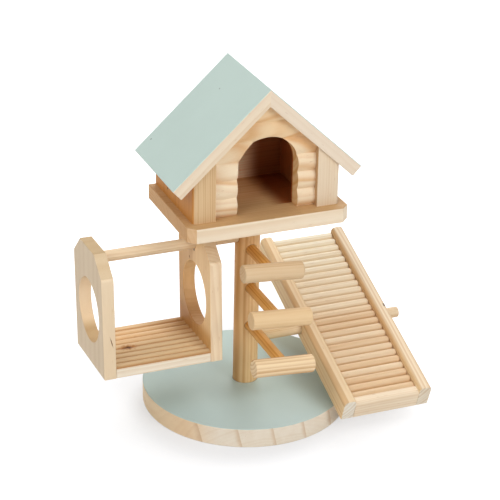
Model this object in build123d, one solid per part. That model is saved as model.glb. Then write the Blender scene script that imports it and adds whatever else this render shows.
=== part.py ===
from build123d import *
import os
from math import cos, floor, hypot, radians, sin, tan

# Wooden play house for small animals: a house on a post, a swing on its left,
# a rocking ramp on its right and three steps up the front of the post.
# Millimetres. X runs to the right along the house front, Y to the back, Z up.
# The origin is the centre of the base disc's underside.

# fits shared by all pieces
glue_gap = 0.05         # round a glued dowel end, on the radius
pivot_gap = 0.35        # round a dowel that something turns on, on the radius
sweep_gap = 0.5         # between a fixed dowel and what rocks over it
edge_ease = 0.8         # sanded edges

# base disc and post
disc_d = 184.0
disc_t = 18.0
post_d = 22.0
post_bare = 164.5       # post between disc and platform
foot_socket = 10.0      # post foot let into the disc
head_socket = 6.0       # post top let into the platform
dowel_d = 9.8           # swing dowel, ramp dowel and step pegs
dowel_in_post = 9.0     # depth of their ends in the post

# platform
platform_w = 145.2
platform_depth = 104.6
platform_t = 13.4
platform_corner = 6.5   # cut across the two front corners

# house walls
house_inset = 6.6       # side walls in from the platform's ends
house_setback = 10.6    # wall fronts behind the platform's front edge
wall_t = 20.2
wall_h = 35.3           # at the outer face, under the eaves
wall_round = 3.0        # outer front edge
panel_t = 11.6          # front and back panels
front_recess = 6.5      # front panel behind the wall fronts
back_recess = 2.2       # back panel in front of the wall backs

# log face of the front panel
log_pitch = 16.0
log_bulge = 2.5

# doorway
door_jamb = 18.5        # panel beside the doorway, before its offset
door_offset = 2.4       # to the right of the house's middle
door_spring = 39.8      # height where the arch starts

# roof
roof_slope = 42.8
roof_t = 11.2
roof_len = 115.5        # from ridge to eave along the outer face
roof_front = 3.3        # past the wall fronts
roof_back = 0.8         # past the wall backs

# swing
swing_axis_z = 158.8
swing_tilt = -2.8       # bottom a little to the front
swing_gap = 27.8        # between the post and the right side plate
swing_inner = 84.5      # between the side plates
swing_side_t = 11.0
swing_depth = 78.2
swing_above = 11.6      # side plates above the dowel axis
swing_below = 95.8      # side plates below the dowel axis
swing_shoulder = 17.0   # height of the cut upper corners
swing_top = 39.5        # flat top of the side plates
swing_round = 4.0       # rounding below the cut corners
swing_hole_d = 56.6
swing_hole_below = 46.3 # hole centre below the dowel axis
swing_floor_t = 10.8
swing_socket = 6.0      # dowel end in the left side plate
socket_end = 0.4        # left free at the end of that socket
reed_pitch = 8.6
reed_bulge = 2.2

# ramp, measured along and square to its rails from the ramp dowel's axis
ramp_axis_z = 57.8
ramp_slope = 20.0
ramp_gap = 41.3         # between the post and the left rail
ramp_inner = 60.5       # between the rails
rail_t = 11.6
rail_depth = 22.0
rail_up = 2.4           # rail's middle above the dowel axis
rail_round = 4.0
ramp_front = 103.1
ramp_back = 105.3
ramp_dowel_end = 13.8   # dowel past the right rail
end_board_t = 8.0
end_board_round = 3.0
rung_d = 7.85
rung_gap = 0.15         # least gap between rungs
rung_drop = 4.45        # rung tops below the rail tops
rung_ease = 1.2

# steps
step_count = 3
step_first_z = 149.0
step_drop = 36.7
step_first_reach = 57.0 # from the post's axis to the tread's
step_more_reach = 16.0  # each lower step stands out further
tread_d = 15.6
tread_len = 54.5
tread_ease = 1.5
tread_roll = 4.5        # right end lower
tread_stagger = 1.7     # second tread to the right, third to the left
peg_in_tread = 8.0

# heights and faces that follow from the sizes above
post_r = post_d / 2
dowel_r = dowel_d / 2
platform_z = disc_t + post_bare
floor_z = platform_z + platform_t
wall_y0 = house_setback - platform_depth / 2
wall_y1 = platform_depth / 2
wall_x1 = platform_w / 2 - house_inset
wall_x0 = wall_x1 - wall_t
front_y = wall_y0 + front_recess
door_w = 2 * (wall_x0 - door_jamb)
slope_rise = tan(radians(roof_slope))
inner_ridge_z = floor_z + wall_h + wall_x1 * slope_rise
outer_ridge_z = inner_ridge_z + roof_t / cos(radians(roof_slope))
swing_x1 = -(post_r + swing_gap)
swing_floor_x1 = swing_x1 - swing_side_t
swing_floor_x0 = swing_floor_x1 - swing_inner
swing_x0 = swing_floor_x0 - swing_side_t
swing_z0 = swing_axis_z - swing_below
rail_x0 = post_r + ramp_gap
deck_x0 = rail_x0 + rail_t
deck_x1 = deck_x0 + ramp_inner
rail_top = rail_up + rail_depth / 2
rail_bottom = rail_up - rail_depth / 2
rung_n = rail_top - rung_drop - rung_d / 2


def block(x0, x1, y0, y1, z0, z1):
    middle = Pos((x0 + x1) / 2, (y0 + y1) / 2, (z0 + z1) / 2)
    return middle * Box(x1 - x0, y1 - y0, z1 - z0)


def rod_x(d, x0, x1, y, z):
    return Pos((x0 + x1) / 2, y, z) * Rot(0, 90, 0) * Cylinder(d / 2, x1 - x0)


def rod_y(d, y0, y1, x, z):
    return Pos(x, (y0 + y1) / 2, z) * Rot(90, 0, 0) * Cylinder(d / 2, y1 - y0)


def rod_z(d, z0, z1):
    return Pos(0, 0, (z0 + z1) / 2) * Cylinder(d / 2, z1 - z0)


def eased_rod(rod, radius):
    return fillet(rod.edges().filter_by(GeomType.CIRCLE), radius)


def prism_x(outline, x0, x1):
    # outline in Y and Z
    return extrude(Plane.YZ.offset(x0) * outline, amount=x1 - x0)


def prism_y(outline, y0, y1):
    # outline in X and Z
    plane = Plane(origin=(0, y0, 0), x_dir=(1, 0, 0), z_dir=(0, -1, 0))
    return extrude(plane * outline, amount=y0 - y1)


def polygon(*points):
    return make_face(Polyline(*points, close=True))


def eased_faces(faces):
    # sanded edges all round the given faces
    return fillet([edge for face in faces for edge in face.edges()], edge_ease)


def ripples(start, step, count, bulge):
    # arcs side by side from the point start, each bulging to the left of its step
    arcs = []
    for i in range(count):
        a = start + step * i
        b = start + step * (i + 1)
        crest = (a + b) / 2 + Vector(-step.Y, step.X, 0).normalized() * bulge
        arcs.append(ThreePointArc(a, crest, b))
    return arcs


def make_base_disc():
    disc = rod_z(disc_d, 0, disc_t)
    disc = eased_rod(disc, edge_ease)
    return disc - rod_z(post_d + 2 * glue_gap, disc_t - foot_socket, platform_z)


def step_z(i):
    return step_first_z - step_drop * i


def step_y(i):
    return -(step_first_reach + step_more_reach * i)


def make_post():
    post = rod_z(post_d, disc_t - foot_socket, platform_z + head_socket)
    bore = dowel_d + 2 * glue_gap
    inner = post_r - dowel_in_post
    post -= rod_x(bore, -post_d, -inner, 0, swing_axis_z)
    post -= rod_x(bore, inner, post_d, 0, ramp_axis_z)
    for i in range(step_count):
        post -= rod_y(bore, -post_d, -inner, 0, step_z(i))
    return post


def make_platform():
    half_w = platform_w / 2
    half_d = platform_depth / 2
    board = block(-half_w, half_w, -half_d, half_d, platform_z, floor_z)
    front = board.edges().filter_by(Axis.Z).sort_by(Axis.Y)[:2]
    board = chamfer(front, platform_corner)
    board = fillet(board.edges().filter_by(Axis.Z), edge_ease)
    board = eased_faces(board.faces().filter_by(Plane.XY))
    return board - rod_z(post_d + 2 * glue_gap, disc_t, platform_z + head_socket)


def roof_under(x):
    # height of the roof's underside
    return inner_ridge_z - abs(x) * slope_rise


def make_side_wall(side):
    outline = polygon(
        (side * wall_x0, floor_z),
        (side * wall_x1, floor_z),
        (side * wall_x1, roof_under(wall_x1)),
        (side * wall_x0, roof_under(wall_x0)),
    )
    wall = prism_y(outline, wall_y0, wall_y1)
    upright = wall.edges().filter_by(Axis.Z).sort_by(Axis.Y)
    front = upright[:2].sort_by(lambda edge: abs(edge.center().X))
    wall = fillet(front[1], wall_round)
    upright = wall.edges().filter_by(Axis.Z).sort_by(Axis.Y)
    back = upright[-2:].sort_by(lambda edge: abs(edge.center().X))
    return fillet(back[1], edge_ease)


def gable(y0, y1):
    outline = polygon(
        (-wall_x0, floor_z),
        (wall_x0, floor_z),
        (wall_x0, roof_under(wall_x0)),
        (0, inner_ridge_z),
        (-wall_x0, roof_under(wall_x0)),
    )
    return prism_y(outline, y0, y1)


def make_front_wall():
    count = floor((inner_ridge_z - floor_z) / log_pitch) + 1
    top_z = floor_z + log_pitch * count
    back_y = front_y + panel_t
    face = ripples(Vector(front_y, floor_z), Vector(0, log_pitch), count, log_bulge)
    edges = face + [
        Line((front_y, top_z), (back_y, top_z)),
        Line((back_y, top_z), (back_y, floor_z)),
        Line((back_y, floor_z), (front_y, floor_z)),
    ]
    logs = prism_x(make_face(edges), -wall_x0, wall_x0)
    wall = logs & gable(front_y - log_bulge, back_y)
    return wall - doorway()


def doorway():
    through_y0 = wall_y0
    through_y1 = front_y + panel_t + wall_t
    left = door_offset - door_w / 2
    right = door_offset + door_w / 2
    spring_z = floor_z + door_spring
    arch = rod_y(door_w, through_y0, through_y1, door_offset, spring_z)
    return arch + block(left, right, through_y0, through_y1, platform_z, spring_z)


def make_back_wall():
    back_y = wall_y1 - back_recess
    return gable(back_y - panel_t, back_y)


def make_roof_panel(side):
    run = cos(radians(roof_slope))
    drop = sin(radians(roof_slope))
    eave = (side * roof_len * run, outer_ridge_z - roof_len * drop)
    eave_under = (eave[0] - side * roof_t * drop, eave[1] - roof_t * run)
    outline = polygon((0, outer_ridge_z), eave, eave_under, (0, inner_ridge_z))
    panel = prism_y(outline, wall_y0 - roof_front, wall_y1 + roof_back)
    mitre = panel.faces().sort_by(lambda face: abs(face.center().X))[0]
    at_mitre = mitre.center().X
    sanded = [edge for edge in panel.edges() if abs(edge.center().X - at_mitre) > roof_t]
    return fillet(sanded, edge_ease)


def on_swing(piece):
    # from hanging straight down to its place
    axis = Pos(0, 0, swing_axis_z)
    return axis * Rot(swing_tilt, 0, 0) * axis.inverse() * piece


def make_swing_side(x0):
    half = swing_depth / 2
    top = swing_top / 2
    top_z = swing_axis_z + swing_above
    shoulder_z = top_z - swing_shoulder
    outline = polygon(
        (-half, swing_z0),
        (half, swing_z0),
        (half, shoulder_z),
        (top, top_z),
        (-top, top_z),
        (-half, shoulder_z),
    )
    plate = prism_x(outline, x0, x0 + swing_side_t)
    across = plate.edges().filter_by(Axis.X).sort_by(Axis.Z)
    plate = fillet(across[2:4], swing_round)
    hole_z = swing_axis_z - swing_hole_below
    plate -= rod_x(swing_hole_d, x0 - swing_side_t, x0 + 2 * swing_side_t, 0, hole_z)
    return eased_faces(plate.faces().filter_by(Plane.YZ))


def make_swing_side_left():
    bore = dowel_d + 2 * pivot_gap
    socket = rod_x(bore, swing_floor_x0 - swing_socket, swing_floor_x1, 0, swing_axis_z)
    return on_swing(make_swing_side(swing_x0) - socket)


def make_swing_side_right():
    bore = rod_x(dowel_d + 2 * pivot_gap, swing_floor_x0, 0, 0, swing_axis_z)
    return on_swing(make_swing_side(swing_floor_x1) - bore)


def make_swing_floor():
    half = swing_depth / 2
    groove_z = swing_z0 + swing_floor_t - reed_bulge
    count = floor(swing_depth / reed_pitch)
    pitch = swing_depth / count
    reeds = ripples(Vector(half, groove_z), Vector(-pitch, 0), count, -reed_bulge)
    edges = reeds + [
        Line((-half, groove_z), (-half, swing_z0)),
        Line((-half, swing_z0), (half, swing_z0)),
        Line((half, swing_z0), (half, groove_z)),
    ]
    board = prism_x(make_face(edges), swing_floor_x0, swing_floor_x1)
    board = fillet(board.edges().filter_by(Axis.X).sort_by(Axis.Z)[:2], edge_ease)
    return on_swing(board)


def make_swing_dowel():
    end = swing_floor_x0 - swing_socket + socket_end
    rod = rod_x(dowel_d, end, dowel_in_post - post_r, 0, swing_axis_z)
    return eased_rod(rod, edge_ease)


def make_ramp_dowel():
    end = deck_x1 + rail_t + ramp_dowel_end
    rod = rod_x(dowel_d, post_r - dowel_in_post, end, 0, ramp_axis_z)
    return eased_rod(rod, edge_ease)


def on_ramp(piece):
    # from the ramp's own frame, level with its dowel at the origin, to its place
    return Pos(0, 0, ramp_axis_z) * Rot(ramp_slope, 0, 0) * piece


def make_rail(x0):
    rail = block(x0, x0 + rail_t, -ramp_front, ramp_back, rail_bottom, rail_top)
    top = rail.edges().filter_by(Axis.Y).sort_by(Axis.Z)[2:]
    rail = fillet(top, rail_round)
    low = rail.edges().filter_by(Axis.Y).sort_by(Axis.Z)[:2]
    rail = fillet(low, edge_ease)
    ends = rail.faces().sort_by(Axis.Y)
    rail = eased_faces([ends[0], ends[-1]])
    return on_ramp(rail - rod_x(dowel_d + 2 * pivot_gap, x0 - rail_t, x0 + 2 * rail_t, 0, 0))


def make_rungs():
    deck = ramp_front - end_board_t + ramp_back
    count = floor(deck / (rung_d + rung_gap))
    pitch = deck / count
    sweep = dowel_r + sweep_gap
    rungs = []
    for i in range(count):
        u = ramp_back - pitch * (i + 0.5)
        rung = eased_rod(rod_x(rung_d, deck_x0, deck_x1, u, rung_n), rung_ease)
        if hypot(u, rung_n) < sweep + rung_d / 2:
            rung -= rod_x(2 * sweep, rail_x0, deck_x1 + rail_t, 0, 0)
        rungs.append(on_ramp(rung))
    return rungs


def make_end_board():
    top = rung_n + rung_d / 2
    board = block(deck_x0, deck_x1, -ramp_front, end_board_t - ramp_front, rail_bottom, top)
    upper = board.edges().filter_by(Axis.X).sort_by(Axis.Z)[2:]
    board = fillet(upper.sort_by(Axis.Y)[0], end_board_round)
    lower = board.edges().filter_by(Axis.X).sort_by(Axis.Z)[:2]
    return on_ramp(fillet(lower, edge_ease))


def make_peg(i):
    end = step_y(i) + tread_d / 2 - peg_in_tread
    return rod_y(dowel_d, end, dowel_in_post - post_r, 0, step_z(i))


def make_tread(i):
    rod = rod_x(tread_d, -tread_len / 2, tread_len / 2, 0, 0)
    shift = tread_stagger * (0, 1, -1)[i % 3]
    tread = Pos(shift, step_y(i), step_z(i)) * Rot(0, tread_roll, 0) * eased_rod(rod, tread_ease)
    end = step_y(i) + tread_d / 2 - peg_in_tread
    return tread - rod_y(dowel_d + 2 * glue_gap, end, 0, 0, step_z(i))


def make_all():
    nodes = {
        "base_disc": make_base_disc(),
        "post": make_post(),
        "platform": make_platform(),
        "side_wall_left": make_side_wall(-1),
        "side_wall_right": make_side_wall(1),
        "front_wall": make_front_wall(),
        "back_wall": make_back_wall(),
        "roof_panel_left": make_roof_panel(-1),
        "roof_panel_right": make_roof_panel(1),
        "swing_dowel": make_swing_dowel(),
        "swing_side_left": make_swing_side_left(),
        "swing_side_right": make_swing_side_right(),
        "swing_floor": make_swing_floor(),
        "ramp_dowel": make_ramp_dowel(),
        "ramp_rail_left": make_rail(rail_x0),
        "ramp_rail_right": make_rail(deck_x1),
        "ramp_end_board": make_end_board(),
    }
    for i, rung in enumerate(make_rungs(), start=1):
        nodes[f"ramp_rung_{i:02d}"] = rung
    for i in range(step_count):
        nodes[f"step_peg_{i + 1}"] = make_peg(i)
        nodes[f"step_tread_{i + 1}"] = make_tread(i)
    return nodes


os.makedirs("parts", exist_ok=True)
for name, solid in make_all().items():
    export_step(solid, f"parts/{name}.step")
    print(name, round(solid.volume))
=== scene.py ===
import math

import bpy
from mathutils import Euler, Matrix, Vector


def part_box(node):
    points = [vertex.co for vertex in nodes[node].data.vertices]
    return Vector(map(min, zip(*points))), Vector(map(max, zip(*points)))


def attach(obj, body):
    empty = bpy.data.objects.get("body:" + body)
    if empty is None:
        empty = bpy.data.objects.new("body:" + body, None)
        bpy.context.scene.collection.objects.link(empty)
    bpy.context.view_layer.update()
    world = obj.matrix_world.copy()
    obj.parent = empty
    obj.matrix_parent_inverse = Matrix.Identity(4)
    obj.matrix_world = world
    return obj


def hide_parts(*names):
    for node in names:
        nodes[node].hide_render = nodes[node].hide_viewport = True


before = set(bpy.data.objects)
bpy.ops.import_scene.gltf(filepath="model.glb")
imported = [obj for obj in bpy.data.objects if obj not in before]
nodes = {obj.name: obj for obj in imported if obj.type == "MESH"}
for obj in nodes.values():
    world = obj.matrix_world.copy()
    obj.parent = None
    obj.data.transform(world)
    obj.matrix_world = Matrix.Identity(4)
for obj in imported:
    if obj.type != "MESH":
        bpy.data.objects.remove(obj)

for startUp in ("Cube", "Light", "Camera"):  # what an empty session opens with
    if startUp in bpy.data.objects:
        bpy.data.objects.remove(bpy.data.objects[startUp])

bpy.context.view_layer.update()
scene = bpy.context.scene
scene.view_settings.view_transform = "Standard"
mm = 0.001
print("frame:", len(nodes), "nodes")


# camera, where the photograph was taken from
viewpoint = {
    "place": (-0.5293, -1.2956, 0.8007),
    "azimuth": -22.32,    # degrees round from the front, minus is to the left
    "elevation": 25.13,
    "roll": 1.11,
    "lens": 127.8,
    "sensor": 36.0,
    "clip": (0.05, 50),
}


def addCamera(spot):
    turn = math.radians(spot["azimuth"])
    rise = math.radians(spot["elevation"])
    back = Vector((math.sin(turn) * math.cos(rise), -math.cos(turn) * math.cos(rise), math.sin(rise)))
    right = Vector((0, 0, 1)).cross(back).normalized()
    level = Matrix((right, back.cross(right), back)).transposed()
    aim = level @ Matrix.Rotation(math.radians(spot["roll"]), 3, "Z")
    lens = bpy.data.cameras.new("viewpoint")
    lens.lens = spot["lens"]
    lens.sensor_width = spot["sensor"]
    lens.clip_start, lens.clip_end = spot["clip"]
    camera = bpy.data.objects.new("viewpoint", lens)
    scene.collection.objects.link(camera)
    camera.matrix_world = Matrix.Translation(spot["place"]) @ aim.to_4x4()
    scene.camera = camera


addCamera(viewpoint)
print("camera placed")


# node helpers
def addNode(tree, kind, inputs=None, **settings):
    node = tree.nodes.new(kind)
    for key, value in settings.items():
        setattr(node, key, value)
    for key, value in (inputs or {}).items():
        if isinstance(value, bpy.types.NodeSocket):
            tree.links.new(value, node.inputs[key])
        else:
            node.inputs[key].default_value = value
    return node


def calc(tree, operation, *values):
    return addNode(tree, "ShaderNodeMath", dict(enumerate(values)), operation=operation).outputs[0]


def vecCalc(tree, operation, *values):
    node = addNode(tree, "ShaderNodeVectorMath", dict(enumerate(values)), operation=operation)
    single = operation in ("LENGTH", "DISTANCE", "DOT_PRODUCT")
    return node.outputs["Value" if single else "Vector"]


def scaled(tree, vector, factor):
    node = addNode(tree, "ShaderNodeVectorMath", {0: vector, "Scale": factor}, operation="SCALE")
    return node.outputs["Vector"]


def joined(tree, x=0.0, y=0.0, z=0.0):
    return addNode(tree, "ShaderNodeCombineXYZ", {"X": x, "Y": y, "Z": z}).outputs[0]


def fade(tree, value, low, high):  # 0 at low, 1 at high, eased
    ends = {"Value": value, "From Min": low, "From Max": high}
    return addNode(tree, "ShaderNodeMapRange", ends, interpolation_type="SMOOTHSTEP").outputs[0]


def spread(tree, value, low, high):  # 0..1 to low..high
    return addNode(tree, "ShaderNodeMapRange", {"Value": value, "To Min": low, "To Max": high}).outputs[0]


def sway(tree, value, amount):  # 0..1 to -amount/2..amount/2
    return calc(tree, "MULTIPLY", calc(tree, "SUBTRACT", value, 0.5), amount)


def mixValue(tree, factor, first, second):
    return addNode(tree, "ShaderNodeMix", {0: factor, 2: first, 3: second}).outputs[0]


def mixColour(tree, factor, first, second, blend="MIX"):
    inputs = {0: factor, 6: first, 7: second}
    return addNode(tree, "ShaderNodeMix", inputs, data_type="RGBA", blend_type=blend).outputs[2]


def multiplied(tree, share, colour, tone):  # toned by as much as share says
    return mixColour(tree, share, colour, mixColour(tree, 1.0, colour, tone, "MULTIPLY"))


def noise(tree, vector, stretch, seed, detail=2.0, roughness=0.5):  # stretch: features per metre
    inputs = {"Vector": vecCalc(tree, "MULTIPLY", vector, stretch), "W": seed, "Scale": 1.0}
    inputs.update({"Detail": detail, "Roughness": roughness})
    return addNode(tree, "ShaderNodeTexNoise", inputs, noise_dimensions="4D").outputs["Fac"]


def chance(tree, number, output="Value"):  # the same random value for the same number
    return addNode(tree, "ShaderNodeTexWhiteNoise", {"W": number}, noise_dimensions="1D").outputs[output]


def tint(red, green, blue):  # screen colour 0..255 to a shader colour
    parts = [part / 255 for part in (red, green, blue)]
    linear = [part / 12.92 if part <= 0.04045 else ((part + 0.055) / 1.055) ** 2.4 for part in parts]
    return (*linear, 1.0)


def newFinish(name):
    material = bpy.data.materials.new(name)
    material.use_nodes = True
    material.node_tree.nodes.clear()
    return material


# studio: white paper floor with a painted shadow round the base, wide soft lights overhead, at the front
# right, at the left and behind
studio = {
    "floorSize": 12.0,
    "floorDrop": 0.2 * mm,  # keeps the paper clear of the base's underside
    "floorTone": 0.86,
    "seenTone": (0.355, 0.358, 0.37, 1),    # how much of the shadows the camera sees in the paper
    "nearGlow": 0.66,       # white that the camera sees under the toy
    "farGlow": 1.0,
    "glowFrom": 0.10,
    "glowTo": 0.24,
    "paintedShadow": {            # painted shadow: the paper is darker close to the base
        "middle": (-0.011, -0.017, 0.0),
        "from": 0.074,
        "to": 0.112,
        "tone": 0.78,
    },
    "surround": 0.12,       # soft light from all round
    "aim": (0.0, 0.0, 0.15),
}
lamps = {
    "topLight": {"place": (-0.2, 0.1, 1.65), "size": 3.0, "watts": 19.0},
    "frontLight": {"place": (0.60, -1.60, 0.95), "size": 1.0, "watts": 13.5},
    "fillLight": {"place": (-1.30, -0.70, 1.20), "size": 1.2, "watts": 10.0},
    "backLight": {"place": (0.80, 1.15, 1.35), "size": 1.2, "watts": 13.0},
}


def seenDirectly(tree):  # 1 for what the camera, a mirror or glass sees
    path = addNode(tree, "ShaderNodeLightPath").outputs
    mirrored = calc(tree, "MAXIMUM", path["Is Glossy Ray"], path["Is Transmission Ray"])
    return calc(tree, "MAXIMUM", path["Is Camera Ray"], mirrored)


def addFloor(room):
    half = room["floorSize"] / 2
    level = -room["floorDrop"]
    corners = [(-half, -half, level), (half, -half, level), (half, half, level), (-half, half, level)]
    mesh = bpy.data.meshes.new("studioFloor")
    mesh.from_pydata(corners, [], [(0, 1, 2, 3)])
    floor = bpy.data.objects.new("studioFloor", mesh)
    scene.collection.objects.link(floor)
    material = newFinish("studioPaper")
    tree = material.node_tree
    paper = addNode(tree, "ShaderNodeBsdfDiffuse", {"Color": (*[room["floorTone"]] * 3, 1)})
    shadowed = addNode(tree, "ShaderNodeBsdfDiffuse", {"Color": room["seenTone"]})
    place = addNode(tree, "ShaderNodeTexCoord").outputs["Object"]
    far = fade(tree, vecCalc(tree, "LENGTH", place), room["glowFrom"], room["glowTo"])
    glow = mixValue(tree, far, room["nearGlow"], room["farGlow"])
    # painted shadow round the base: less white glow close to it
    paintedShadow = room["paintedShadow"]
    away = vecCalc(tree, "DISTANCE", place, paintedShadow["middle"])
    clear = fade(tree, away, paintedShadow["from"], paintedShadow["to"])
    glow = calc(tree, "MULTIPLY", glow, mixValue(tree, clear, paintedShadow["tone"], 1.0))
    white = addNode(tree, "ShaderNodeEmission", {"Color": (1, 1, 1, 1), "Strength": glow})
    seen = addNode(tree, "ShaderNodeAddShader", {0: shadowed.outputs[0], 1: white.outputs[0]})
    either = {0: seenDirectly(tree), 1: paper.outputs[0], 2: seen.outputs[0]}
    both = addNode(tree, "ShaderNodeMixShader", either)
    addNode(tree, "ShaderNodeOutputMaterial", {"Surface": both.outputs[0]})
    mesh.materials.append(material)


def addSurround(room):
    world = bpy.data.worlds.new("studioAir")
    world.use_nodes = True
    tree = world.node_tree
    tree.nodes.clear()
    level = mixValue(tree, seenDirectly(tree), room["surround"], 1.0)
    air = addNode(tree, "ShaderNodeBackground", {"Color": (1, 1, 1, 1), "Strength": level})
    addNode(tree, "ShaderNodeOutputWorld", {"Surface": air.outputs[0]})
    scene.world = world


def addSoftLight(name, lamp, aim):
    light = bpy.data.lights.new(name, "AREA")
    light.shape = "DISK"
    light.size = lamp["size"]
    light.energy = lamp["watts"]
    spot = bpy.data.objects.new(name, light)
    spot.location = lamp["place"]
    spot.rotation_euler = (Vector(aim) - Vector(lamp["place"])).to_track_quat("-Z", "Y").to_euler()
    scene.collection.objects.link(spot)


addFloor(studio)
addSurround(studio)
for name, lamp in lamps.items():
    addSoftLight(name, lamp, studio["aim"])
print("studio lit")


# pine: growth rings round a pith line, seen in the solid, so end grain and faces agree
pineLook = {
    "pale": tint(240, 219, 187),
    "late": tint(206, 162, 108),
    "fleck": tint(178, 128, 80),
    "fleckDepth": 0.35,
    "fleckLimits": (0.77, 0.85),
    "endTurn": (0.6, 0.95),     # how squarely a face cuts the grain to count as end grain
    "endShade": 0.90,
    "endRough": 0.12,
    "wander": 6.0,
    "widths": (0.37, 1.3),      # how fast the rings' widths change, and by how much
    "dark": (0.1, 0.8),         # share of a ring where its dark line starts, and where it is full
    "softness": 0.2,            # share of a ring in which the dark line fades out
    "weakest": 0.25,            # of the dark lines
    "streak": 0.42,
    "fibre": 0.22,
    "cloud": 0.30,
    "ground": 0.14,
    "rough": (0.48, 0.64),
    "ringLift": 0.5,
    "bump": 0.06 * mm,
}
grainStretch = {    # features per metre, along the grain and across it
    "wander": (6, 26, 26),
    "fibre": (45, 1400, 1400),
    "streak": (8, 170, 170),
    "fleck": (130, 1250, 1250),
    "cloud": (9, 30, 30),
}


def makePineGroup(look):
    tree = bpy.data.node_groups.new("pineBoard", "ShaderNodeTree")
    tree.interface.new_socket("Vector", in_out="INPUT", socket_type="NodeSocketVector")
    for name in ("Ring Width", "Wander", "Figure", "Softness", "Streak", "Seed", "End Grain"):
        tree.interface.new_socket(name, in_out="INPUT", socket_type="NodeSocketFloat")
    for name in ("Pale", "Late"):
        tree.interface.new_socket(name, in_out="INPUT", socket_type="NodeSocketColor")
    tree.interface.new_socket("Colour", in_out="OUTPUT", socket_type="NodeSocketColor")
    for name in ("Roughness", "Height"):
        tree.interface.new_socket(name, in_out="OUTPUT", socket_type="NodeSocketFloat")
    given = addNode(tree, "NodeGroupInput").outputs
    vector, seed = given["Vector"], given["Seed"]

    # rings: distance from the pith, wandering slowly along the board
    across = vecCalc(tree, "LENGTH", vecCalc(tree, "MULTIPLY", vector, (0, 1, 1)))
    wander = sway(tree, noise(tree, vector, grainStretch["wander"], seed), given["Wander"])
    rings = calc(tree, "DIVIDE", calc(tree, "ADD", across, wander), given["Ring Width"])
    pace, change = look["widths"]
    years = {"W": calc(tree, "ADD", calc(tree, "MULTIPLY", rings, pace), seed), "Scale": 1.0}
    uneven = addNode(tree, "ShaderNodeTexNoise", years, noise_dimensions="1D").outputs["Fac"]
    rings = calc(tree, "ADD", rings, calc(tree, "MULTIPLY", uneven, change))
    inRing = calc(tree, "FRACT", rings)
    strength = chance(tree, calc(tree, "ADD", calc(tree, "FLOOR", rings), seed))
    drop = fade(tree, inRing, 1.0, calc(tree, "SUBTRACT", 1.0, given["Softness"]))
    late = calc(tree, "MULTIPLY", fade(tree, inRing, *look["dark"]), drop)
    late = calc(tree, "MULTIPLY", late, spread(tree, strength, look["weakest"], 1.0))

    # fibres, broad streaks and short dark flecks, all drawn out along the grain
    fibre = noise(tree, vector, grainStretch["fibre"], seed, detail=3.0, roughness=0.6)
    streak = noise(tree, vector, grainStretch["streak"], seed)
    cloud = noise(tree, vector, grainStretch["cloud"], seed)
    fleck = fade(tree, noise(tree, vector, grainStretch["fleck"], seed, detail=0.0), *look["fleckLimits"])
    figure = calc(tree, "MULTIPLY", late, given["Figure"])
    for pattern, amount in ((fibre, look["fibre"]), (streak, given["Streak"]), (cloud, look["cloud"])):
        figure = calc(tree, "ADD", figure, sway(tree, pattern, amount))
    figure = calc(tree, "ADD", figure, look["ground"])
    figure = addNode(tree, "ShaderNodeClamp", {"Value": figure}).outputs[0]
    colour = mixColour(tree, figure, given["Pale"], given["Late"])
    colour = mixColour(tree, calc(tree, "MULTIPLY", fleck, look["fleckDepth"]), colour, look["fleck"])
    colour = scaled(tree, colour, spread(tree, given["End Grain"], 1.0, look["endShade"]))
    endRough = calc(tree, "MULTIPLY", given["End Grain"], look["endRough"])
    rough = calc(tree, "ADD", spread(tree, fibre, *look["rough"]), endRough)
    height = calc(tree, "ADD", calc(tree, "MULTIPLY", late, look["ringLift"]), fibre)
    addNode(tree, "NodeGroupOutput", {"Colour": colour, "Roughness": rough, "Height": height})
    return tree


pineGroup = makePineGroup(pineLook)
print("pine grain ready")


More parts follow.
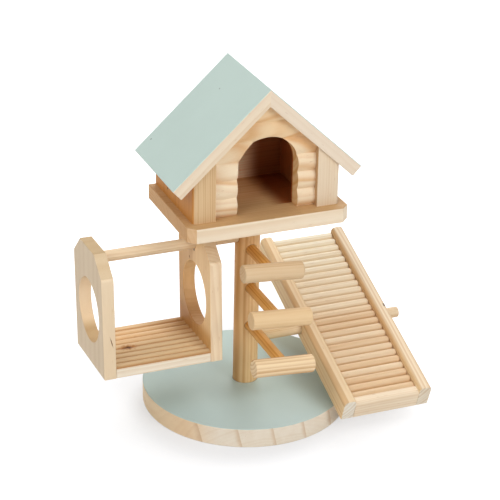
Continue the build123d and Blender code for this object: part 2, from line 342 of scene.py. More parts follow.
# every board: which way its grain runs, how far off its pith lies, how it is toned; places and sizes in mm
rampSlope = 20.0
roofSlope = 42.8
treadRoll = 4.5
grainTurns = {
    "x": (0, 0, 0),
    "y": (0, 0, -90),
    "z": (0, 90, 0),
    "ramp": (-rampSlope, 0, -90),
    "tread": (0, -treadRoll, 0),
    "panel": (0, 3, 10),    # sawn a little askew, which gives arched figure
}
faceWays = {"top": (0, 0, 1), "left": (-1, 0, 0), "front": (0, -1, 0)}
faceTurn = (0.4, 0.8)       # how squarely a face is turned that way to take its tone
pegTones = {"grain": "y", "ring": 2.0, "figure": 0.7, "pale": tint(226, 173, 94), "late": tint(190, 124, 50)}
boards = {
    "post": {
        "grain": "z", "pith": (4, -34), "ring": 3.2, "figure": 0.55, "seed": 1.3,
        "pale": tint(249, 214, 160), "late": tint(206, 147, 84),
        # painted shade under the platform: darker towards the post's top
        "shades": [{"from": (0, 0, 130), "to": (0, 0, 190), "tone": (0.82, 0.72, 0.62, 1)}],
    },
    "platform": {
        "grain": "x", "pith": (46, -38), "ring": 2.8, "figure": 0.40, "seed": 2.1,
        "pale": tint(245, 229, 204), "late": tint(214, 172, 120),
        # painted shade: the top darker and warmer under the house, the left face darker
        "facingLight": {"top": (0.65, 0.49, 0.31, 1), "left": (0.85, 0.63, 0.42, 1)},
    },
    "side_wall_left": {
        "grain": "z", "pith": (5, 70), "ring": 1.7, "figure": 0.45, "seed": 3.7,
        "pale": tint(226, 196, 153), "late": tint(192, 144, 90),
        # painted shade: the outside face, under the eave, darker and more orange
        "facingLight": {"left": (0.85, 0.52, 0.20, 1)},
        "marks": [{"at": (-66, 20.8, 203.5), "size": (2, 1.4, 1.2), "tone": tint(52, 30, 16)}],
    },
    "side_wall_right": {
        "grain": "z", "pith": (-6, 64), "ring": 2.1, "figure": 0.24, "seed": 4.9,
        "pale": tint(234, 215, 188), "late": tint(208, 172, 128),
        # painted shade in the recess by the front wall's right end
        "shades": [{"face": "left", "from": (0, -28, 0), "to": (0, -35, 0),
                    "tone": (0.62, 0.48, 0.34, 1)}],
    },
    "front_wall": {
        "grain": "panel", "pith": (30, 12), "ring": 6.0, "figure": 0.62, "seed": 5.2,
        "wander": 14.0, "softness": 0.3, "streak": 0.25,
        "pale": tint(248, 230, 200), "late": tint(217, 163, 99),
        "endTone": (0.98, 0.82, 0.58, 1),
        # painted shade under the roof's overhang: the gable darker and warmer towards its top
        "shades": [{"from": (0, 0, 238), "to": (0, 0, 268), "tone": (0.94, 0.85, 0.72, 1)}],
    },
    "back_wall": {"grain": "x", "pith": (-30, 14), "ring": 2.4, "figure": 0.4, "seed": 6.4},
    "swing_dowel": {"grain": "x", "pith": (4, -9), "ring": 1.8, "figure": 0.4, "seed": 7.7},
    "swing_side_left": {
        "grain": "z", "pith": (62, 3), "ring": 13.0, "figure": 0.46, "seed": 8.1,
        "softness": 0.8, "streak": 0.12,
        "pale": tint(222, 201, 171), "late": tint(192, 159, 118),
        # painted light: the front face lighter
        "facingLight": {"front": (1.25, 1.28, 1.31, 1)}, "endTone": (0.84, 0.77, 0.63, 1),
        "holeTone": ((1.0, 0.98, 0.96, 1), (0.99, 0.93, 0.85, 1)),
        "marks": [{"at": (-137.8, -42, 98.6), "size": (0.45, 2.5, 6.5), "turn": (0, -14, 0),
                   "tone": tint(122, 70, 32)}],
    },
    "swing_side_right": {
        "grain": "z", "pith": (-54, 10), "ring": 3.0, "figure": 0.35, "seed": 9.6,
        "pale": tint(244, 221, 187),
        # painted shade on the inner face, darker and warmer; painted light on the front face
        "facingLight": {"left": (1.04, 0.95, 0.78, 1), "front": (1.04, 1.06, 1.11, 1)},
        "endTone": (0.84, 0.80, 0.74, 1),
        "holeTone": ((1.25, 1.25, 1.15, 1), (0.78, 0.64, 0.50, 1)),
        # painted shade: the plate darker towards the back and bottom, and its inner face darker still low
        # down by the floor
        "shades": [{"from": (0, -26, 115), "to": (0, 28, 100), "tone": (0.78, 0.66, 0.52, 1)},
                   {"face": "left", "from": (0, 0, 97), "to": (0, 0, 82),
                    "tone": (0.74, 0.60, 0.41, 1)}],
        "marks": [{"at": (-49.8, -1, 153.4), "size": (1.4, 2.0, 1.8), "tone": tint(70, 40, 20)},
                  {"at": (-49.8, 10.1, 141.3), "size": (1.4, 1.8, 1.8), "tone": tint(176, 122, 74)}],
    },
    "swing_floor": {
        "grain": "x", "pith": (6, -30), "ring": 2.2, "figure": 0.45, "seed": 10.3, "streak": 0.34,
        "pale": tint(247, 232, 209), "late": tint(210, 166, 114),
        # painted shade: the top darker and warmer, the reeds darker towards the front and in the corner by
        # the right plate; painted light: the front edge lighter
        "facingLight": {"top": (0.89, 0.74, 0.54, 1), "front": (1.19, 1.20, 1.24, 1)},
        "shades": [{"from": (0, 10, 74), "to": (0, -14, 74), "tone": (0.86, 0.90, 0.92, 1)},
                   {"from": (-74, 4, 74), "to": (-50, 24, 74), "tone": (0.66, 0.54, 0.40, 1)}],
        "marks": [{"at": (-113.5, -9.8, 74.2), "size": (13.0, 6.0, 5.0), "tone": tint(180, 124, 70)},
                  {"at": (-113.5, -9.8, 74.2), "size": (7.0, 3.6, 4.5), "tone": tint(62, 34, 17)}],
    },
    "ramp_dowel": {
        "grain": "x", "pith": (5, 6), "ring": 1.8, "figure": 0.4, "seed": 11.5,
        # painted shade: darker towards the post
        "shades": [{"from": (62, 0, 0), "to": (22, 0, 0), "tone": (0.93, 0.88, 0.74, 1)}],
    },
    "ramp_rail_left": {
        "grain": "ramp", "pith": (27, 25), "ring": 3.2, "figure": 0.6, "seed": 12.2,
        "pale": tint(237, 213, 175), "late": tint(198, 151, 96),
        # painted light: the outer face lighter, and the whole rail lighter towards its upper end
        "facingLight": {"left": (1.10, 1.06, 0.98, 1)}, "endTone": (1.16, 1.40, 1.90, 1),
        "shades": [{"from": (0, 0, 0), "to": (0, 90, 0), "tone": (1.16, 1.18, 1.2, 1)}],
    },
    "ramp_rail_right": {
        "grain": "ramp", "pith": (26, 27), "ring": 3.4, "figure": 0.45, "seed": 13.8,
        "pale": tint(245, 227, 199),
        # painted shade on the inner face, fading out towards the front end
        "facingLight": {"left": (0.93, 0.80, 0.62, 1)}, "endTone": (1.0, 1.08, 1.2, 1),
        "shades": [{"face": "left", "from": (0, -30, 0), "to": (0, -85, 0),
                    "tone": (1.10, 1.24, 1.38, 1)}],
        "marks": [{"at": (134.2, -5, 70.3), "size": (2.2, 3.0, 2.2), "tone": tint(92, 62, 38)}],
    },
    "ramp_end_board": {
        "grain": "x", "pith": (14, 22), "ring": 1.9, "figure": 0.28, "seed": 14.4,
        "pale": tint(244, 227, 201),
    },
    "step_peg_1": {**pegTones, "pith": (3, 5), "seed": 15.1},
    "step_peg_2": {**pegTones, "pith": (-4, 4), "seed": 16.6},
    "step_peg_3": {**pegTones, "pith": (5, -3), "seed": 17.2},
    "step_tread_1": {
        "grain": "tread", "pith": (10, 12), "ring": 2.6, "figure": 0.4, "seed": 18.9,
        "pale": tint(228, 201, 163), "late": tint(196, 152, 102),
    },
    "step_tread_2": {
        "grain": "tread", "pith": (-12, 9), "ring": 2.8, "figure": 0.26, "seed": 19.3,
        "pale": tint(238, 207, 162),
    },
    "step_tread_3": {
        "grain": "tread", "pith": (8, 11), "ring": 3.0, "figure": 1.1, "seed": 20.7,
        "pale": tint(247, 221, 180), "late": tint(192, 138, 80),
    },
}


def boxCentre(name):
    low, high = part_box(name)
    return (low + high) / 2


def grainVector(tree, turn, centre, pith):  # X along the grain, pith line at Y = Z = 0
    euler = Euler([math.radians(angle) for angle in turn])
    place = -(euler.to_matrix() @ Vector(centre)) - Vector((0, pith[0] * mm, pith[1] * mm))
    coords = addNode(tree, "ShaderNodeTexCoord").outputs
    placing = {"Vector": coords["Object"], "Location": place, "Rotation": euler}
    vector = addNode(tree, "ShaderNodeMapping", placing).outputs[0]
    along = euler.to_matrix().transposed() @ Vector((1, 0, 0))
    facing = calc(tree, "ABSOLUTE", vecCalc(tree, "DOT_PRODUCT", coords["Normal"], along))
    return vector, fade(tree, facing, *pineLook["endTurn"]), coords["Object"]


def pineNodes(tree, vector, endGrain, board):
    inputs = {
        "Vector": vector,
        "Ring Width": board["ring"] * mm,
        "Wander": board.get("wander", pineLook["wander"]) * mm,
        "Figure": board["figure"],
        "Softness": board.get("softness", pineLook["softness"]),
        "Streak": board.get("streak", pineLook["streak"]),
        "Seed": board["seed"],
        "End Grain": endGrain,
        "Pale": board.get("pale", pineLook["pale"]),
        "Late": board.get("late", pineLook["late"]),
    }
    return addNode(tree, "ShaderNodeGroup", inputs, node_tree=pineGroup).outputs


def turnedTo(tree, facing):  # 1 on the faces that are turned this way
    normal = addNode(tree, "ShaderNodeTexCoord").outputs["Normal"]
    return fade(tree, vecCalc(tree, "DOT_PRODUCT", normal, faceWays[facing]), *faceTurn)


def paintFacingLight(tree, colour, facingLight):  # painted light and shade: faces turned one way are lighter, darker or warmer
    for facing, tone in facingLight.items():
        colour = multiplied(tree, turnedTo(tree, facing), colour, tone)
    return colour


def addShades(tree, place, colour, shades):  # tones that come in gradually along a board, most of them painted light and shade
    for shade in shades:
        start, way = Vector(shade["from"]) * mm, (Vector(shade["to"]) - Vector(shade["from"])) * mm
        along = vecCalc(tree, "DOT_PRODUCT", vecCalc(tree, "SUBTRACT", place, start), way.normalized())
        share = fade(tree, along, 0.0, way.length)
        if "face" in shade:
            share = calc(tree, "MULTIPLY", share, turnedTo(tree, shade["face"]))
        colour = multiplied(tree, share, colour, shade["tone"])
    return colour


markRim = {"stretch": (420, 420, 420), "ragged": 0.9, "full": 0.45}


def addMarks(tree, place, colour, marks):  # knots, cracks and specks, ragged at the rim
    for mark in marks:
        lie = {"Vector": place, "Location": [part * mm for part in mark["at"]],
               "Rotation": [math.radians(angle) for angle in mark.get("turn", (0, 0, 0))],
               "Scale": [part * mm for part in mark["size"]]}
        away = addNode(tree, "ShaderNodeMapping", lie, vector_type="TEXTURE").outputs[0]
        ragged = sway(tree, noise(tree, place, markRim["stretch"], mark["at"][2]), markRim["ragged"])
        reach = calc(tree, "ADD", vecCalc(tree, "LENGTH", away), ragged)
        colour = mixColour(tree, fade(tree, reach, 1.0, markRim["full"]), colour, mark["tone"])
    return colour


glueLook = {"tone": tint(120, 76, 38), "width": 0.8 * mm, "full": 0.16 * mm, "clear": 2 * mm, "depth": 0.55}


def addGlueRing(tree, place, colour, centre, across, facing, radius):  # squeezed out round a dowel
    away = vecCalc(tree, "SUBTRACT", place, centre)
    off = calc(tree, "SUBTRACT", vecCalc(tree, "LENGTH", vecCalc(tree, "MULTIPLY", away, across)), radius)
    line = fade(tree, calc(tree, "ABSOLUTE", off), glueLook["width"], glueLook["full"])
    near = fade(tree, vecCalc(tree, "DOT_PRODUCT", away, facing), 0.0, glueLook["clear"])
    share = calc(tree, "MULTIPLY", calc(tree, "MULTIPLY", line, near), glueLook["depth"])
    return mixColour(tree, share, colour, glueLook["tone"])


def addDowelRings(tree, place, colour):  # where pegs and dowels go into the post
    for name in ("step_peg_1", "step_peg_2", "step_peg_3", "swing_dowel", "ramp_dowel"):
        low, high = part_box(name)
        centre = (low + high) / 2
        facing = Vector((centre.x, centre.y, 0)).normalized()
        across = (abs(facing.y), abs(facing.x), 1)
        colour = addGlueRing(tree, place, colour, (0, 0, centre.z), across, facing, (high.z - low.z) / 2)
    return colour


# painted light and shade inside the house, in a box round the room
paintedRoomLight = {
    "low": (-46, -26, 194),
    "high": (46, 40, 300),
    "skin": 0.15,           # how far inside these a face has to lie
    "darkening": (8, 27),   # across the room, lit through the doorway on the left of these
    "litDepth": (-26, 4),
    "lit": (1.30, 1.24, 1.26, 1),
    "dark": (0.47, 0.20, 0.09, 1),
}
swingHang = {
    "tilt": -2.8,
    "holeBelow": 46.3,
    "holeRadius": 28.3,
    "holeRim": (1.0, 0.4),  # outside the radius, where the hole's tone comes in
    "lowerFrom": -0.3,      # share of the radius where the lower tone starts
}
# the reeds of the swing's floor, and painted shade in the grooves between them
reeds = {
    "count": 9,
    "depth": 78.2,
    "reach": 2.0,
    "full": 0.02,           # share of a reed in which the groove is darkest
    "upward": (0.1, 0.4),
    "tone": (0.62, 0.46, 0.32, 1),
}


def paintRoomLightAndShade(tree, place, colour):  # painted light and shade: the room's left is lit through the doorway, its right is dark
    low, high = Vector(paintedRoomLight["low"]) * mm, Vector(paintedRoomLight["high"]) * mm
    away = vecCalc(tree, "ABSOLUTE", vecCalc(tree, "SUBTRACT", place, (low + high) / 2))
    beyond = vecCalc(tree, "SUBTRACT", away, (high - low) / 2)
    out = addNode(tree, "ShaderNodeSeparateXYZ", {0: beyond}).outputs
    most = calc(tree, "MAXIMUM", calc(tree, "MAXIMUM", out["X"], out["Y"]), out["Z"])
    spot = addNode(tree, "ShaderNodeSeparateXYZ", {0: place}).outputs
    dark = fade(tree, spot["X"], *[across * mm for across in paintedRoomLight["darkening"]])
    deep = fade(tree, spot["Y"], *[depth * mm for depth in paintedRoomLight["litDepth"]])
    lit = mixColour(tree, deep, (1, 1, 1, 1), paintedRoomLight["lit"])
    tone = mixColour(tree, dark, lit, paintedRoomLight["dark"])
    return multiplied(tree, fade(tree, most, 0.0, -paintedRoomLight["skin"] * mm), colour, tone)


def swingDown():  # the way the swing hangs
    tilt = math.radians(swingHang["tilt"])
    return Vector((0, math.sin(tilt), -math.cos(tilt)))


def warmHole(tree, place, colour, tone):  # sawn end grain inside the plates' round holes, one tone at a hole's top going over to another towards its bottom
    middle = boxCentre("swing_dowel") + swingDown() * swingHang["holeBelow"] * mm
    away = vecCalc(tree, "MULTIPLY", vecCalc(tree, "SUBTRACT", place, middle), (0, 1, 1))
    radius = swingHang["holeRadius"] * mm
    rim = [radius + outside * mm for outside in swingHang["holeRim"]]
    inside = fade(tree, vecCalc(tree, "LENGTH", away), *rim)
    below = vecCalc(tree, "DOT_PRODUCT", away, swingDown())
    lower = fade(tree, below, swingHang["lowerFrom"] * radius, radius)
    return multiplied(tree, inside, colour, mixColour(tree, lower, *tone))


def paintGrooveShade(tree, place, colour):  # painted shade in the grooves between the reeds of the swing's floor
    down = swingDown()
    back = Vector((0, -down.z, down.y))
    along = vecCalc(tree, "DOT_PRODUCT", vecCalc(tree, "SUBTRACT", place, boxCentre("swing_dowel")), back)
    width = reeds["depth"] / reeds["count"]
    reed = calc(tree, "ADD", calc(tree, "DIVIDE", along, width * mm), reeds["count"] / 2)
    off = calc(tree, "ABSOLUTE", calc(tree, "SUBTRACT", reed, calc(tree, "ROUND", reed)))
    groove = fade(tree, off, reeds["reach"] / width, reeds["full"])
    normal = addNode(tree, "ShaderNodeTexCoord").outputs["Normal"]
    upward = fade(tree, vecCalc(tree, "DOT_PRODUCT", normal, (0, 0, 1)), *reeds["upward"])
    return multiplied(tree, calc(tree, "MULTIPLY", groove, upward), colour, reeds["tone"])


def addSurface(tree, colour, rough, height, shine=0.3):
    bump = {"Height": height, "Distance": pineLook["bump"], "Strength": 1.0}
    lift = addNode(tree, "ShaderNodeBump", bump).outputs[0]
    inputs = {"Base Color": colour, "Roughness": rough, "Normal": lift, "Specular IOR Level": shine}
    surface = addNode(tree, "ShaderNodeBsdfPrincipled", inputs)
    addNode(tree, "ShaderNodeOutputMaterial", {"Surface": surface.outputs[0]})


roomWalls = ("platform", "side_wall_left", "side_wall_right", "front_wall", "back_wall")


def pineFinish(name, board):
    material = newFinish(name + "_pine")
    tree = material.node_tree
    vector, endGrain, place = grainVector(tree, grainTurns[board["grain"]], boxCentre(name), board["pith"])
    pine = pineNodes(tree, vector, endGrain, board)
    # painted light and shade by the way a face is turned, and along the board
    colour = paintFacingLight(tree, pine["Colour"], board.get("facingLight", {}))
    colour = addShades(tree, place, colour, board.get("shades", []))
    if "endTone" in board:
        colour = multiplied(tree, endGrain, colour, board["endTone"])
    # painted light and shade on the faces inside the house
    if name in roomWalls:
        colour = paintRoomLightAndShade(tree, place, colour)
    if "holeTone" in board:
        colour = warmHole(tree, place, colour, board["holeTone"])
    if name == "swing_floor":
        colour = paintGrooveShade(tree, place, colour)
    if name == "post":
        colour = addDowelRings(tree, place, colour)
    colour = addMarks(tree, place, colour, board.get("marks", []))
    addSurface(tree, colour, pine["Roughness"], pine["Height"])
    return material


for name, board in boards.items():
    nodes[name].material_slots[0].material = pineFinish(name, board)
print("bare boards finished:", len(boards))


# painted pieces: mint on the disc's top and the roof's outer faces, bare wood elsewhere
paint = {
    "roof": (tint(199, 217, 209), tint(192, 210, 202)),
    "disc": (tint(199, 219, 215), tint(192, 212, 207)),
    "shine": 0.35,
    "edge": 0.45 * mm,      # how far the paint comes down over the edge
    "waver": 0.35 * mm,
    "blur": 0.1 * mm,
    "rough": (0.45, 0.6),
    "grainShows": 0.25,
    "stipple": 0.5,
}
paintStretch = {"waver": (140, 140, 140), "patch": (28, 28, 28), "stipple": (700, 700, 700)}
discBoard = {
    "pith": (0, -40), "ring": 3.4, "figure": 0.16, "seed": 21.4,
    "pale": tint(248, 237, 219), "late": tint(221, 194, 158),
    "strip": 29.1, "firstSeam": -35.6, "slant": 0.22, "stripShift": (0.4, 0.05, 0.03),
    "seam": tint(198, 160, 114), "seamDepth": 0.5, "seamFrom": 0.84,
    "seamBend": 0.16, "bendStretch": (45, 45, 90), "bendSeed": 5.5,
    # the rim warmer and darker towards the left, and paler again at the far left
    "shades": [{"from": (-52, 0, 0), "to": (-78, 0, 0), "tone": (0.93, 0.78, 0.61, 1)},
               {"from": (-76, 0, 0), "to": (-91, 0, 0), "tone": (1.08, 1.14, 1.17, 1)}],
    # painted shade on the mint: darker towards the front left, and the ramp's shadow under it
    "paintedShadeOnMint": [{"from": (35, 45, 0), "to": (-35, -75, 0), "tone": (0.85, 0.85, 0.86, 1)},
                    {"from": (46, 22, 0), "to": (66, 29, 0), "tone": (0.73, 0.65, 0.54, 1)}],
}
roofBoards = {
    "roof_panel_left": {
        "pith": (6, -40), "ring": 3.6, "figure": 0.35, "seed": 22.8,
        "pale": tint(241, 225, 201), "late": tint(214, 180, 138),
        "marks": [{"at": (-72.4, 45, 240.6), "size": (0.9, 0.9, 0.9), "tone": tint(92, 96, 86)},
                  {"at": (-20.1, 19.1, 289), "size": (0.8, 0.8, 0.8), "tone": tint(140, 150, 140)}],
    },
    "roof_panel_right": {
        "pith": (-5, -44), "ring": 3.8, "figure": 0.28, "seed": 23.3,
        "pale": tint(238, 222, 201), "late": tint(212, 182, 145),
    },
}


def paintOver(tree, place, outward, pine, wood, faceAt, coat):
    # paint where a point lies within the edge depth of the painted face
    depth = calc(tree, "SUBTRACT", faceAt, vecCalc(tree, "DOT_PRODUCT", place, outward))
    waver = noise(tree, place, paintStretch["waver"], seed=3.1)
    depth = calc(tree, "ADD", depth, sway(tree, waver, paint["waver"]))
    mask = fade(tree, depth, paint["edge"] + paint["blur"], paint["edge"] - paint["blur"])
    patch = noise(tree, place, paintStretch["patch"], seed=1.7, detail=3.0)
    stipple = noise(tree, place, paintStretch["stipple"], seed=2.2)
    colour = mixColour(tree, mask, wood, mixColour(tree, patch, *coat))
    rough = mixValue(tree, mask, pine["Roughness"], spread(tree, stipple, *paint["rough"]))
    faint = calc(tree, "MULTIPLY", pine["Height"], paint["grainShows"])
    faint = calc(tree, "ADD", faint, calc(tree, "MULTIPLY", stipple, paint["stipple"]))
    return colour, rough, mixValue(tree, mask, pine["Height"], faint)


def discFinish(board):  # strips of pine glued edge to edge
    material = newFinish("base_disc_painted")
    tree = material.node_tree
    vector, endGrain, place = grainVector(tree, grainTurns["y"], boxCentre("base_disc"), board["pith"])
    across = vecCalc(tree, "DOT_PRODUCT", place, (1, 0, board["slant"]))
    fromSeam = calc(tree, "SUBTRACT", across, board["firstSeam"] * mm)
    strips = calc(tree, "DIVIDE", fromSeam, board["strip"] * mm)
    pick = chance(tree, calc(tree, "FLOOR", strips), "Color")
    shift = vecCalc(tree, "MULTIPLY", vecCalc(tree, "SUBTRACT", pick, (0.5, 0.5, 0.5)), board["stripShift"])
    pine = pineNodes(tree, vecCalc(tree, "ADD", vector, shift), endGrain, board)
    bend = sway(tree, noise(tree, place, board["bendStretch"], board["bendSeed"]), board["seamBend"])
    seam = fade(tree, calc(tree, "ADD", calc(tree, "FRACT", strips), bend), board["seamFrom"], 1.0)
    wood = mixColour(tree, calc(tree, "MULTIPLY", seam, board["seamDepth"]), pine["Colour"], board["seam"])
    wood = addShades(tree, place, wood, board["shades"])
    # mint with painted shade
    coat = [addShades(tree, place, tone, board["paintedShadeOnMint"]) for tone in paint["disc"]]
    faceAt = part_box("base_disc")[1].z
    colour, rough, height = paintOver(tree, place, (0, 0, 1), pine, wood, faceAt, coat)
    postLow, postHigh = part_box("post")
    colour = addGlueRing(tree, place, colour, (0, 0, 0), (1, 1, 0), (0, 0, 1), (postHigh.x - postLow.x) / 2)
    addSurface(tree, colour, rough, height, paint["shine"])
    return material


def roofFinish(name, side, board):
    material = newFinish(name + "_painted")
    tree = material.node_tree
    slope = math.radians(roofSlope)
    vector, endGrain, place = grainVector(tree, (0, -side * roofSlope, 0), boxCentre(name), board["pith"])
    pine = pineNodes(tree, vector, endGrain, board)
    outward = (side * math.sin(slope), 0, math.cos(slope))
    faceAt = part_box(name)[1].z * math.cos(slope)
    # painted light and shade on the roof's faces inside the house
    wood = paintRoomLightAndShade(tree, place, pine["Colour"])
    colour, rough, height = paintOver(tree, place, outward, pine, wood, faceAt, paint["roof"])
    colour = addMarks(tree, place, colour, board.get("marks", []))
    addSurface(tree, colour, rough, height, paint["shine"])
    return material


nodes["base_disc"].material_slots[0].material = discFinish(discBoard)
for name, board in roofBoards.items():
    side = -1 if name.endswith("left") else 1
    nodes[name].material_slots[0].material = roofFinish(name, side, board)
print("painted pieces finished")


# ramp rungs: a row of dowels between the rails, each a little different
rungs = {
    "Ease": 1.6 * mm,
    "Clear": 0.5 * mm,      # kept free round the ramp dowel
    "Uneven": 0.22 * mm,
    "Thinnest": 0.965,
    "Seed": 11,
}
rungShape = {"points": 21, "sides": 28, "waves": (45, 120, 120)}
rungBoard = {
    "pith": (0, 0), "ring": 2.2, "figure": 0.36, "seed": 24.6, "streak": 0.32,
    "pale": tint(240, 214, 179), "late": tint(206, 160, 108), "shift": (0.7, 0.05, 0.05),
}
# rung tones by chance, with painted light that makes the rungs at the back paler, and painted shade in the
# gaps between rungs
rungTonesAndLight = {
    "pale": (1.14, 1.36, 1.62, 1.0),
    "tan": (0.84, 0.72, 0.57, 1.0),
    "curve": 1.6,           # above 1, more of the rungs are pale
    "range": (0.6, 0.9),
    "paintedLitRungs": 14,        # painted light: counted from the back, over which they go from pale to tan
    "toneSeed": 5.0,
    "picks": 97.0,          # so that each tone picks its own stretch of wood
    # painted shade on the rungs' sides that face their neighbours
    "gap": (0.92, 0.86, 0.78, 1.0),
    "gapTurn": (0.62, 0.97),
}


def rungFinish(board):
    material = newFinish("rung_pine")
    tree = material.node_tree
    vector, endGrain, place = grainVector(tree, grainTurns["x"], (0, 0, 0), board["pith"])
    tone = addNode(tree, "ShaderNodeAttribute", attribute_name="rungTone").outputs["Fac"]
    pick = chance(tree, calc(tree, "MULTIPLY", tone, rungTonesAndLight["picks"]), "Color")
    shift = vecCalc(tree, "MULTIPLY", pick, board["shift"])
    pine = pineNodes(tree, vecCalc(tree, "ADD", vector, shift), endGrain, board)
    hueAndLight = mixColour(tree, calc(tree, "POWER", tone, rungTonesAndLight["curve"]), rungTonesAndLight["pale"], rungTonesAndLight["tan"])
    colour = mixColour(tree, 1.0, pine["Colour"], hueAndLight, "MULTIPLY")
    # painted shade on the sides that face the next rungs
    slope = math.radians(rampSlope)
    normal = addNode(tree, "ShaderNodeTexCoord").outputs["Normal"]
    downRamp = (0, math.cos(slope), math.sin(slope))
    sideways = calc(tree, "ABSOLUTE", vecCalc(tree, "DOT_PRODUCT", normal, downRamp))
    colour = multiplied(tree, fade(tree, sideways, *rungTonesAndLight["gapTurn"]), colour, rungTonesAndLight["gap"])
    addSurface(tree, colour, pine["Roughness"], pine["Height"])
    return material


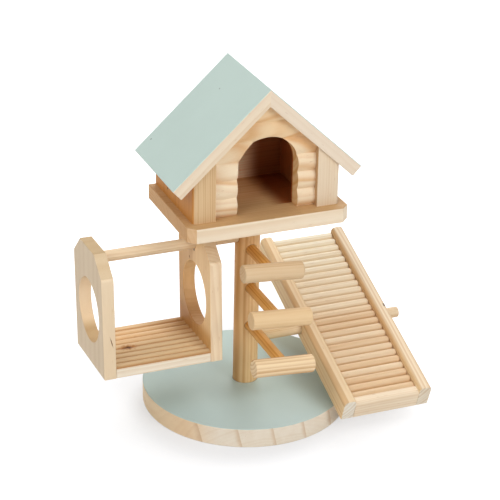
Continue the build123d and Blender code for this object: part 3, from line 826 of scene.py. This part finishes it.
def makeRungTree():
    tree = bpy.data.node_groups.new("rampRungs", "GeometryNodeTree")
    tree.interface.new_socket("Geometry", in_out="INPUT", socket_type="NodeSocketGeometry")
    for name in ("Count", "Seed"):
        tree.interface.new_socket(name, in_out="INPUT", socket_type="NodeSocketInt")
    for name in ("First", "Step", "Axis"):
        tree.interface.new_socket(name, in_out="INPUT", socket_type="NodeSocketVector")
    for name in ("Diameter", "Length", "Ease", "Hollow", "Uneven", "Thinnest"):
        tree.interface.new_socket(name, in_out="INPUT", socket_type="NodeSocketFloat")
    tree.interface.new_socket("Finish", in_out="INPUT", socket_type="NodeSocketMaterial")
    tree.interface.new_socket("Geometry", in_out="OUTPUT", socket_type="NodeSocketGeometry")
    given = addNode(tree, "NodeGroupInput").outputs

    def position():
        return addNode(tree, "GeometryNodeInputPosition").outputs[0]

    # one rung: a line with its points drawn towards the ends, thinner over the eased ends
    line = addNode(tree, "GeometryNodeCurvePrimitiveLine", {"End": joined(tree, given["Length"])}).outputs[0]
    dotted = {"Curve": line, "Count": rungShape["points"]}
    line = addNode(tree, "GeometryNodeResampleCurve", dotted).outputs[0]
    along = addNode(tree, "GeometryNodeSplineParameter").outputs["Factor"]
    along = calc(tree, "COSINE", calc(tree, "MULTIPLY", along, math.pi))
    spot = joined(tree, calc(tree, "MULTIPLY", calc(tree, "MULTIPLY", along, -0.5), given["Length"]))
    line = addNode(tree, "GeometryNodeSetPosition", {"Geometry": line, "Position": spot}).outputs[0]
    fromMiddle = calc(tree, "ABSOLUTE", addNode(tree, "ShaderNodeSeparateXYZ", {0: position()}).outputs["X"])
    toEnd = calc(tree, "SUBTRACT", calc(tree, "MULTIPLY", given["Length"], 0.5), fromMiddle)
    short = calc(tree, "SUBTRACT", given["Ease"], calc(tree, "MINIMUM", toEnd, given["Ease"]))
    rise = calc(tree, "SUBTRACT", calc(tree, "POWER", given["Ease"], 2.0), calc(tree, "POWER", short, 2.0))
    core = calc(tree, "SUBTRACT", calc(tree, "MULTIPLY", given["Diameter"], 0.5), given["Ease"])
    thick = calc(tree, "ADD", core, calc(tree, "SQRT", rise))
    circle = {"Resolution": rungShape["sides"], "Radius": 1.0}
    ring = addNode(tree, "GeometryNodeCurvePrimitiveCircle", circle).outputs[0]
    turned = {"Curve": line, "Profile Curve": ring, "Scale": thick, "Fill Caps": True}
    rung = addNode(tree, "GeometryNodeCurveToMesh", turned).outputs[0]

    # the row, each rung turned, thinned and toned by chance, with painted light that makes the rungs at the
    # back paler
    spots = {"Count": given["Count"], "Start Location": given["First"], "Offset": given["Step"]}
    row = addNode(tree, "GeometryNodeMeshLine", spots).outputs[0]
    anyTurn = {"Max": (2 * math.pi, 0, 0), "Seed": given["Seed"]}
    turn = addNode(tree, "FunctionNodeRandomValue", anyTurn, data_type="FLOAT_VECTOR").outputs[0]
    anySize = {2: given["Thinnest"], 3: 1.0, "Seed": given["Seed"]}
    thin = addNode(tree, "FunctionNodeRandomValue", anySize, data_type="FLOAT").outputs[1]
    placed = {"Points": row, "Instance": rung, "Rotation": turn, "Scale": joined(tree, 1.0, thin, thin)}
    row = addNode(tree, "GeometryNodeInstanceOnPoints", placed).outputs[0]
    palest, darkest = rungTonesAndLight["range"]
    anyTone = {2: palest, 3: darkest, "Seed": calc(tree, "ADD", given["Seed"], rungTonesAndLight["toneSeed"])}
    tone = addNode(tree, "FunctionNodeRandomValue", anyTone, data_type="FLOAT").outputs[1]
    # painted light: the rungs at the back paler
    index = addNode(tree, "GeometryNodeInputIndex").outputs[0]
    onward = {"Value": index, "From Max": rungTonesAndLight["paintedLitRungs"], "To Min": 0.0}
    tone = calc(tree, "MULTIPLY", tone, addNode(tree, "ShaderNodeMapRange", onward).outputs[0])
    marked = {"Geometry": row, "Name": "rungTone", "Value": tone}
    perRung = {"data_type": "FLOAT", "domain": "INSTANCE"}
    row = addNode(tree, "GeometryNodeStoreNamedAttribute", marked, **perRung).outputs[0]
    row = addNode(tree, "GeometryNodeRealizeInstances", {"Geometry": row}).outputs[0]

    # slightly uneven turning, then the hollow that clears the ramp dowel
    spot = vecCalc(tree, "MULTIPLY", position(), rungShape["waves"])
    waves = {"Vector": spot, "Scale": 1.0, "Detail": 1.0}
    rough = addNode(tree, "ShaderNodeTexNoise", waves).outputs["Color"]
    push = vecCalc(tree, "MULTIPLY", vecCalc(tree, "SUBTRACT", rough, (0.5, 0.5, 0.5)), (0, 1, 1))
    push = scaled(tree, push, given["Uneven"])
    row = addNode(tree, "GeometryNodeSetPosition", {"Geometry": row, "Offset": push}).outputs[0]
    away = vecCalc(tree, "MULTIPLY", vecCalc(tree, "SUBTRACT", position(), given["Axis"]), (0, 1, 1))
    grow = calc(tree, "DIVIDE", given["Hollow"], vecCalc(tree, "LENGTH", away))
    push = scaled(tree, away, calc(tree, "MAXIMUM", 0.0, calc(tree, "SUBTRACT", grow, 1.0)))
    row = addNode(tree, "GeometryNodeSetPosition", {"Geometry": row, "Offset": push}).outputs[0]
    row = addNode(tree, "GeometryNodeSetShadeSmooth", {"Geometry": row}).outputs[0]
    row = addNode(tree, "GeometryNodeSetMaterial", {"Geometry": row, "Material": given["Finish"]}).outputs[0]
    addNode(tree, "NodeGroupOutput", {"Geometry": row})
    return tree


def growPiece(name, tree, values):
    piece = bpy.data.objects.new(name, bpy.data.meshes.new(name))
    scene.collection.objects.link(piece)
    grower = piece.modifiers.new(name, "NODES")
    grower.node_group = tree
    for item in tree.interface.items_tree:
        if item.item_type == "SOCKET" and item.in_out == "INPUT" and item.name in values:
            grower[item.identifier] = values[item.name]
    shown = piece.evaluated_get(bpy.context.evaluated_depsgraph_get())
    mesh = bpy.data.meshes.new_from_object(shown)
    piece.modifiers.remove(grower)
    piece.data = mesh
    return piece


def rungPlaces(names):  # where the row starts, its step and the rungs' size, from the frame
    first, last = boxCentre(names[0]), boxCentre(names[-1])
    low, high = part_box(names[0])
    dowelLow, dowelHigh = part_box("ramp_dowel")
    return {
        "Count": len(names),
        "First": first,
        "Step": (last - first) / (len(names) - 1),
        "Diameter": high.z - low.z,
        "Length": high.x - low.x,
        "Axis": (dowelLow + dowelHigh) / 2,
        "Hollow": (dowelHigh.z - dowelLow.z) / 2 + rungs["Clear"],
    }


rungNames = sorted(name for name in nodes if name.startswith("ramp_rung_"))
rungValues = {**rungs, **rungPlaces(rungNames), "Finish": rungFinish(rungBoard)}
rungRow = growPiece("ramp_rungs", makeRungTree(), rungValues)
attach(rungRow, "ramp")
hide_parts(*rungNames)
print("rungs:", len(rungNames), "with", len(rungRow.data.polygons), "faces")
